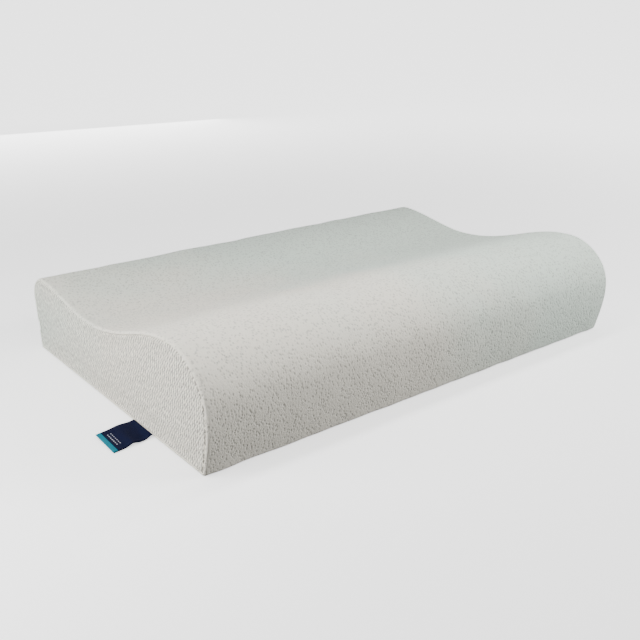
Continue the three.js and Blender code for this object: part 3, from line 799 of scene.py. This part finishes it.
def end_panel(name, side, seed):
    """Rings from the ditch to the middle: ditch, ridge and dome, with puckers and slow waves."""
    edge = np.linspace(FIRST_INSET, LAST_INSET, EDGE_RINGS)
    insets = np.concatenate([[DITCH_INSET + 0.3, DITCH_INSET + 0.35], edge])
    inner = ring(LAST_INSET)
    middle = np.array([0.0, DIP[1] / 2 * MM])
    shares = np.linspace(1, LEAST_SHARE, INNER_RINGS + 1)[1:, None, None]
    rings = np.concatenate([[ring(i) for i in insets], middle + shares * (inner - middle)])
    closed = rings[:, :-1]
    deep = np.concatenate([insets, LAST_INSET + (1 - shares.ravel()) * MIDDLE_DEEP])[:, None]
    out = -DITCH_DEPTH * hump(deep, DITCH_INSET, DITCH_WIDTH)
    out = out + RIDGE_MM * hump(deep, RIDGE_INSET, RIDGE_WIDTH)
    out = out + DOME_MM * smooth_step((deep - DOME_START) / DOME_REACH)
    y, z = closed[..., 0] / MM, closed[..., 1] / MM
    around = ROUND[None, :-1] / MM
    puckers = waves(around, np.zeros_like(deep), seed, 15, 7) * hump(deep, 6, 5)
    sway = waves(y, z, seed + 1, 120, 45) * smooth_step((deep - 6) / 20)
    out = out + puckers * PANEL_PUCKER_MM + sway * PANEL_SWAY_MM
    x = side * (LENGTH / 2 + out * MM)
    points = np.concatenate([x[..., None], closed], axis=-1)
    rows, columns = points.shape[:2]
    faces = grid_faces(rows, columns, wrap=True)
    cap = np.arange(columns) + (rows - 1) * columns
    if side < 0:
        faces = faces[:, ::-1]
    else:
        cap = cap[::-1]
    uv = np.stack([side * closed[..., 0], closed[..., 1]], axis=-1)
    piece = new_piece(name, points, faces, END_KNIT, uv, [cap.tolist()])
    thicken(piece, END_CLOTH_MM)
    settle(piece, "pillow", f"{name}_panel")


end_panel("cover_left_end", -1, 11)
end_panel("cover_right_end", 1, 21)

# %% [markdown]
# ## The zip
# A coil zip is a thick nylon thread wound into a flattened spring, one spring for each
# tape, and the two springs mesh like screws. Modelled tooth by tooth it would take a
# thousand copies. Carrying one small circle along one long flattened helix gives the
# whole spring at once, and shifting the second helix by half a turn makes them mesh.
# The pieces are worked out in the zip's own directions: along the chain, out of the
# back face and up it.

# %% Zip directions and sizes
TAPE_EDGE, TAPE_OUTER, TAPE_TOP, TAPE_THICKNESS = 1.3, 14.3, -2.0, 0.5
THROAT_START, THROAT_END = -1.0, 3.5  # where the slider parts the chain, from its middle
PARTED = 1.95  # how far it pushes each side away

slider_low, slider_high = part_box("zip_slider")
SLIDER_X = (slider_low[0] + slider_high[0]) / 2 / MM
CHAIN_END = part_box("zip_upper_tape")[1][0] / MM
travel_range = [j["range_m"] for j in frame["joints"] if j["name"] == "zip_travel"]
TRAVEL = np.abs(travel_range).max() / MM
SLIDER_STOP = SLIDER_X - TRAVEL
UP_3D = np.array([0.0, *FACE_UP])
OUT_3D = np.array([0.0, *FACE_OUT])
X_3D = np.array([1.0, 0.0, 0.0])
ZIP_ORIGIN = np.array([0.0, *(ZIP_MIDDLE - across(DEPTH / MM / 2))])
print("slider at", round(SLIDER_X), "mm, and at", round(SLIDER_STOP), "mm when open")


def on_zip(x, out, up):
    """Metres from millimetres: the zip's middle plus x along, out of the face and up it."""
    x, out, up = (part[..., None] for part in np.broadcast_arrays(x, out, up))
    return (ZIP_ORIGIN + x * X_3D + out * OUT_3D + up * UP_3D) * MM


def side_word(side):
    return "upper" if side > 0 else "lower"


def parted(x):
    """How far each side of the chain stands aside: nothing, then a ramp inside the slider."""
    return PARTED * np.clip((x - SLIDER_X - THROAT_START) / (THROAT_END - THROAT_START), 0, 1)


# %% [markdown]
# When the slider moves, the chain behind it opens. Each tape is cut into three lengths
# where the slider stops: the last few millimetres, the longest length, and a very short
# one between them, hidden in the slider. Each is given the share of the way to the
# tape's outer edge that it keeps: the last few millimetres keep all of it, the longest
# length keeps the least, and the short one gives up about half as much. Nothing in the
# script opens them.

# %% Lengths of the chain
FULL_OPEN, HALF_OPEN = 0.85, 0.93  # share of the way to the tape's outer edge that is kept
TURN_START, TURN_END = SLIDER_STOP + 0.8, SLIDER_STOP + 2.7
LENGTHS = {
    "shut": (-CHAIN_END, TURN_START, 1.0),
    "turn": (TURN_START, TURN_END, HALF_OPEN),
    "open": (TURN_END, CHAIN_END, FULL_OPEN),
}


def settle_on_chain(piece, side, node, keep):
    """Rides on the pillow; a length with a share below 1 gets its own copy of its mesh."""
    settle(piece, "pillow", node)
    if keep < 1:
        anchor = on_zip(0.0, 0.0, side * TAPE_OUTER)
        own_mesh(piece)


# %% Tape material
TWILL_MM, PICK_MM = 0.9, 0.45


def tape_weave(name, hollow, crown):
    """Twill tape: slanting ribs from one sine of both directions, crossed by fine picks."""
    finish = Finish(name, Roughness=0.85, Sheen_Weight=0.1)
    along, over, _ = finish.split(finish.cloth_mm())
    ribs = (along + over).ripple(TWILL_MM)
    picks = over.ripple(PICK_MM)
    height = ribs * 0.35 + picks * 0.15 + 0.5
    drift = finish.noise(finish.object_mm(), 25, 2)
    finish.feed("Base Color", finish.blend(height * 0.7 + drift * 0.3, hollow, crown))
    finish.feed("Normal", finish.bump(height, 0.12, 0.8))
    return finish.material


def thread_finish(name, hollow, crown, strand_mm, roughness):
    """Twisted thread: noise drawn out along the strand, in both colour and relief."""
    finish = Finish(name, Roughness=roughness)
    place = finish.object_mm()
    strands = finish.noise(place, strand_mm, 3, 0.6, 1.2)
    drift = finish.noise(place, 18, 1)
    finish.feed("Base Color", finish.blend(strands * 0.7 + drift * 0.3, hollow, crown))
    finish.feed("Normal", finish.bump(strands, strand_mm * 0.3, 0.6))
    return finish.material


TAPE_WEAVE = tape_weave("zip_tape", (0.46, 0.48, 0.47), (0.60, 0.62, 0.60))
COIL_NYLON = thread_finish("zip_coil", (0.66, 0.67, 0.65), (0.78, 0.79, 0.76), 0.5, 0.38)
STITCH_THREAD = thread_finish("stitch_thread", (0.66, 0.67, 0.63), (0.82, 0.82, 0.78), 0.3, 0.75)

# %% Tapes
TAPE_STEP = 5.0
TAPE_COLUMNS = 7


def tape(name, side, start, stop, keep):
    """A flat strip from the chain's edge, which follows the parting, to the outer edge."""
    marks = [start, stop, SLIDER_X + THROAT_START, SLIDER_X + THROAT_END]
    x = np.unique(np.concatenate([np.arange(start, stop, TAPE_STEP), np.clip(marks, start, stop)]))
    over = np.linspace(0, 1, TAPE_COLUMNS)[None, :]
    edge = TAPE_EDGE + parted(x)[:, None]
    height = edge + over * (TAPE_OUTER - edge)
    points = on_zip(x[:, None], TAPE_TOP, side * height)
    uv = np.stack(np.broadcast_arrays(x[:, None], height), axis=-1) * MM
    faces = grid_faces(*height.shape)
    if side > 0:
        faces = faces[:, ::-1]
    piece = new_piece(f"{name}_tape_{side_word(side)}", points, faces, TAPE_WEAVE, uv)
    thicken(piece, TAPE_THICKNESS)
    settle_on_chain(piece, side, f"zip_{side_word(side)}_tape", keep)


for word, (start, stop, keep) in LENGTHS.items():
    tape(word, 1, start, stop, keep)
    tape(word, -1, start, stop, keep)

# %% [markdown]
# ## Threads
# The coils, the topstitching and the bar tacks are all round threads, so one helper
# makes any number of them: at each point of a path it sets a circle square to the path.

# %% A tube along each path
def tubes(paths, radii, sides, square_to):
    """Closed round threads along paths, an array of (threads, steps, 3) in metres.

    With T the direction of travel, A = T x square_to and B = A x T, each circle is
    radius * (A cos t + B sin t). Returns the points, the quads and the end caps.
    """
    ahead = np.gradient(paths, axis=1)
    ahead /= np.linalg.norm(ahead, axis=-1, keepdims=True)
    a = np.cross(ahead, square_to)
    a /= np.linalg.norm(a, axis=-1, keepdims=True)
    b = np.cross(a, ahead)
    t = np.linspace(0, 2 * np.pi, sides, endpoint=False)[:, None]
    circle = a[:, :, None] * np.cos(t) + b[:, :, None] * np.sin(t)
    points = paths[:, :, None] + circle * (np.asarray(radii) * MM)[None, :, None, None]
    threads, steps = paths.shape[:2]
    first = np.arange(threads)[:, None, None] * steps * sides
    quads = (grid_faces(steps, sides, wrap=True)[None] + first).reshape(-1, 4)
    loop = np.arange(sides)
    start_caps = first[:, :, 0] + loop
    stop_caps = first[:, :, 0] + (steps - 1) * sides + loop[::-1]
    return points, quads, np.concatenate([start_caps, stop_caps]).tolist()


# %% Coils
COIL_PITCH, COIL_RADIUS = 1.5, 0.33
COIL_STEPS, COIL_SIDES = 10, 4
COIL_UP, COIL_UP_SWING = 1.325, 1.195
COIL_OUT, COIL_OUT_SWING = -1.025, 0.595


def coil(name, side, start, stop, keep):
    """A flattened helix: up and out swing as a cosine and a sine, one turn each pitch."""
    sample = COIL_PITCH / COIL_STEPS
    first, last = (round((x + CHAIN_END) / sample) for x in (start, stop))
    x = np.arange(first, last + 1) * sample - CHAIN_END
    angle = 2 * np.pi * x / COIL_PITCH + (0 if side > 0 else np.pi)
    up = side * (COIL_UP + COIL_UP_SWING * np.cos(angle) + parted(x))
    out = COIL_OUT + COIL_OUT_SWING * np.sin(angle)
    path = on_zip(x, out, up)[None]
    points, quads, caps = tubes(path, np.full(len(x), COIL_RADIUS), COIL_SIDES, X_3D)
    piece = new_piece(f"{name}_coil_{side_word(side)}", points, quads, COIL_NYLON, None, caps)
    settle_on_chain(piece, side, f"zip_{side_word(side)}_coil", keep)


for word, (start, stop, keep) in LENGTHS.items():
    coil(word, 1, start, stop, keep)
    coil(word, -1, start, stop, keep)

# %% Topstitching
STITCH_LENGTH, STITCH_PITCH, STITCH_RADIUS = 2.6, 3.2, 0.25
THREAD_SIDES, STITCH_STEPS = 5, 6
SEW_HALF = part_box("zip_upper_topstitch")[1][0] / MM


def topstitch(side):
    """A row of stitches. Each rises from the cloth and dives back: out = 0.3 - 0.6 t^4."""
    middles = np.arange(-SEW_HALF + STITCH_PITCH / 2, SEW_HALF, STITCH_PITCH)[:, None]
    t = np.linspace(-1, 1, STITCH_STEPS)[None, :]
    paths = on_zip(middles + t * STITCH_LENGTH / 2, 0.3 - 0.6 * t**4, side * STITCH_HEIGHT)
    radii = STITCH_RADIUS * np.sqrt(1 - 0.6 * t[0] ** 4)
    points, quads, caps = tubes(paths, radii, THREAD_SIDES, UP_3D)
    piece = new_piece(f"topstitch_{side_word(side)}", points, quads, STITCH_THREAD, None, caps)
    settle(piece, "pillow", f"zip_{side_word(side)}_topstitch")


topstitch(1)
topstitch(-1)

# %% Bar tacks
TACK_THREADS, TACK_HALF, TACK_RADIUS = 13, 6.0, 0.15
TACK_OVER, TACK_DROP = 0.25, 1.9
TACK_STEPS, CHAIN_HALF = 17, 3.1


def bartack(word, node):
    """Threads side by side across the chain, high over the coils and down to the tapes."""
    low, high = (corner[0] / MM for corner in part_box(node))
    x = np.linspace(low, high, TACK_THREADS)[:, None]
    up = np.linspace(-TACK_HALF, TACK_HALF, TACK_STEPS)[None, :]
    drop = TACK_DROP * smooth_step((np.abs(up) - CHAIN_HALF - parted(x)) / 1.2)
    paths = on_zip(x, TACK_OVER - drop, up)
    radii = np.full(TACK_STEPS, TACK_RADIUS)
    points, quads, caps = tubes(paths, radii, THREAD_SIDES, X_3D)
    piece = new_piece(f"bartack_{word}", points, quads, STITCH_THREAD, None, caps)
    settle(piece, "pillow", node)


bartack("left", "zip_left_bartack")
bartack("right", "zip_right_bartack")

# %% [markdown]
# ## Slider and pull tab
# These are small die-cast parts. Their CAD shapes are right but their edges are razor
# sharp, and a cast edge is never sharp: it catches a line of light. So each is copied,
# its loose triangles are merged, its flat faces are joined, and a small bevel goes round.

# %% Slider and pull tab
import bmesh

CAST_EDGE_MM = 0.16
SAME_POINT = 1e-6
FLAT_WITHIN = np.radians(1)


def cast_metal():
    """Plated casting: satin, slightly pitted, with rubbed patches that shine more."""
    finish = Finish("slider_metal", Metallic=1.0)
    place = finish.object_mm()
    rubbed = finish.noise(place, 3.5, 3)
    pits = finish.noise(place, 0.25, 2)
    finish.feed("Base Color", finish.blend(rubbed, (0.20, 0.21, 0.22), (0.34, 0.35, 0.36)))
    finish.feed("Roughness", 0.42 - rubbed * 0.14 + pits * 0.06)
    finish.feed("Normal", finish.bump(pits, 0.03, 0.5))
    return finish.material


def eased_copy(name, node, body, material):
    """A CAD part's merged copy, with flat faces joined and a small bevel on each edge."""
    shape = bmesh.new()
    shape.from_mesh(frame["nodes"][node].data)
    bmesh.ops.remove_doubles(shape, verts=shape.verts, dist=SAME_POINT)
    parts = {"verts": shape.verts, "edges": shape.edges}
    bmesh.ops.dissolve_limit(shape, angle_limit=FLAT_WITHIN, **parts)
    points = np.array([vertex.co for vertex in shape.verts])
    polygons = [[vertex.index for vertex in face.verts] for face in shape.faces]
    shape.free()
    piece = new_piece(name, points, np.zeros((0, 4), int), material, None, polygons)
    bevel = piece.modifiers.new("cast_edge", "BEVEL")
    bevel.width = CAST_EDGE_MM * MM
    bevel.segments = 2
    bevel.harden_normals = True
    settle(piece, body, node)


CAST_METAL = cast_metal()
eased_copy("slider", "zip_slider", "slider", CAST_METAL)
eased_copy("pull_tab", "zip_pull_tab", "pull_tab", CAST_METAL)

# %% [markdown]
# ## The side label
# A ribbon is folded once and both its ends are caught in the end seam, so it is a flat
# loop: a top layer, a tight fold at the tip and a bottom layer. It lies on the table in
# a low wave, higher at its back edge than at its front edge. The top and bottom layers
# share one middle surface, and the path runs out along one and back along the other.

# %% Label weave
LABEL_REACH = 44.0
RIBBON_RIB_MM, RIBBON_WARP_MM = 0.45, 0.6
BAND_MM = 5.4
DASH_MM, DASHED_HALF = 3.4, 11.8
DASH_ROWS = {9.6: 0.55, 13.2: 0.35}  # distance from the fold: half width of a dashed line


def label_weave(fold):
    """Satin ribbon: close ribs across it, a coloured band at the fold and dashed lines."""
    finish = Finish("label_weave", Roughness=0.7, Specular_IOR_Level=0.06)
    over, along, _ = finish.split(finish.cloth_mm())
    ribs = along.ripple(RIBBON_RIB_MM) * 0.5 + 0.5
    warps = over.ripple(RIBBON_WARP_MM) * 0.5 + 0.5
    weave = ribs * 0.6 + warps * 0.4
    from_fold = abs(along - fold)
    band = 1 - finish.fade(from_fold, BAND_MM - 0.15, BAND_MM + 0.15)
    dashes = finish.fade(over.ripple(DASH_MM), -0.15, 0.15)
    inside = 1 - finish.fade(abs(over), DASHED_HALF - 0.2, DASHED_HALF + 0.2)
    lines = 0
    for distance, half in DASH_ROWS.items():
        near = 1 - finish.fade(abs(from_fold - distance), half - 0.1, half + 0.1)
        lines = near + lines
    pattern = lines * dashes * inside
    ground = finish.blend(weave, (0.0, 0.001, 0.012), (0.003, 0.006, 0.034))
    edge = finish.blend(weave, (0.0, 0.10, 0.16), (0.01, 0.22, 0.28))
    colour = finish.blend(pattern, finish.blend(band, ground, edge), (0.50, 0.52, 0.58))
    finish.feed("Base Color", colour)
    finish.feed("Normal", finish.bump(weave + pattern * 0.5, 0.12, 0.7))
    return finish.material


# %% Label shape
LABEL_WIDTH = 40.0
LABEL_MIDDLE_Y = -75.0
LABEL_DRIFT = 0.122  # sideways, for each millimetre outwards
LAYER_MM = 0.32
TIP_MM = 0.4  # how far the fold rounds out past the two layers
ROOT_GAP, TIP_GAP = 0.18, 0.5  # half of what parts the layers' middles, at each end
LABEL_STEPS, FOLD_POINTS, LABEL_COLUMNS = 56, 7, 30
LABEL_ROOT_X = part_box("side_label")[1][0] / MM


def label_height(s, t):
    """Height of the label's middle surface: t runs from 0 at the front edge to 1 behind."""
    front = 0.85 + 2.4 * hump(s, 0, 5) + 2.1 * hump(s, 22, 5.5)
    behind = 2.9 + 0.6 * hump(s, 0, 5) + 1.1 * hump(s, 19, 9)
    return front + (behind - front) * t


def side_label():
    """The loop's path: out along the top, half a circle at the tip, back underneath."""
    out = np.linspace(0, LABEL_REACH, LABEL_STEPS)
    turn = np.linspace(np.pi / 2, -np.pi / 2, FOLD_POINTS + 2)[1:-1]
    s = np.concatenate([out, LABEL_REACH + TIP_MM * np.cos(turn), out[::-1]])[:, None]
    gap = ROOT_GAP + (TIP_GAP - ROOT_GAP) * smooth_step(out / 14)
    lift = np.concatenate([gap, gap[-1] * np.sin(turn), -gap[::-1]])[:, None]
    t = np.linspace(0, 1, LABEL_COLUMNS)[None, :]
    y = LABEL_MIDDLE_Y + LABEL_WIDTH * (t - 0.5) - LABEL_DRIFT * s
    z = np.maximum(label_height(s, t) + lift, LAYER_MM / 2 + 0.05)
    x = LABEL_ROOT_X - s
    points = np.stack(np.broadcast_arrays(x, y, z), axis=-1) * MM
    steps = np.linalg.norm(np.diff(points[:, LABEL_COLUMNS // 2], axis=0), axis=1)
    length = np.concatenate([[0], np.cumsum(steps)])
    uv = np.stack(np.broadcast_arrays((t - 0.5) * LABEL_WIDTH * MM, length[:, None]), axis=-1)
    fold = length[len(out) + len(turn) // 2] / MM
    faces = grid_faces(len(s), t.shape[1])[:, ::-1]
    piece = new_piece("side_label_loop", points, faces, label_weave(fold), uv)
    wall = piece.modifiers.new("thickness", "SOLIDIFY")
    wall.thickness = LAYER_MM * MM
    wall.offset = 0
    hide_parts("side_label")
    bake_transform(piece)
    print("label ribbon, mm:", LABEL_WIDTH, "by", round(length[-1] / MM, 1))


side_label()

# %% [markdown]
# ## What is under the cover
# The foam, its liner, the seam allowances and the care label keep their CAD shapes. They
# hardly show, only down the zip's slot, but each is a real material: open-celled foam,
# fine jersey, overlocked thread and satin.

# %% Inner materials
def foam():
    """Moulded memory foam: fine open cells that pit the skin, and slow yellowing."""
    finish = Finish("foam", Roughness=0.95)
    place = finish.object_mm()
    cell = finish.cells(place, 0.9, 0.3)
    drift = finish.noise(place, 90, 2)
    tone = cell * 0.5 + drift * 0.5
    finish.feed("Base Color", finish.blend(tone, (0.72, 0.64, 0.46), (0.88, 0.82, 0.66)))
    finish.feed("Normal", finish.bump(cell, 0.3, 0.7))
    return finish.material


def fine_cloth(name, hollow, crown, pitch, roughness=0.9):
    """Fine cloth: crossed sine waves for its loops, and slow unevenness in its colour."""
    finish = Finish(name, Roughness=roughness)
    place = finish.object_mm()
    x, y, z = finish.split(place)
    loops = x.ripple(pitch) * (y + z).ripple(pitch)
    height = loops * 0.5 + 0.5
    drift = finish.noise(place, 40, 2)
    finish.feed("Base Color", finish.blend(height * 0.6 + drift * 0.4, hollow, crown))
    finish.feed("Normal", finish.bump(height, pitch * 0.25, 0.7))
    return finish.material


LINER_KNIT = fine_cloth("liner_knit", (0.76, 0.76, 0.73), (0.88, 0.88, 0.85), 0.9)
OVERLOCK = fine_cloth("overlock_thread", (0.62, 0.63, 0.59), (0.78, 0.78, 0.74), 1.4)
SATIN = fine_cloth("care_satin", (0.80, 0.80, 0.78), (0.92, 0.92, 0.90), 0.5, 0.4)
INNER = {
    "foam_core": foam(),
    "liner_sleeve": LINER_KNIT,
    "liner_left_end": LINER_KNIT,
    "liner_right_end": LINER_KNIT,
    "liner_left_seam": OVERLOCK,
    "liner_right_seam": OVERLOCK,
    "left_end_seam": OVERLOCK,
    "right_end_seam": OVERLOCK,
    "care_label": SATIN,
}
for node, material in INNER.items():
    for holder in frame["nodes"][node].material_slots:
        holder.material = material
print("inner nodes with a new finish:", len(INNER))
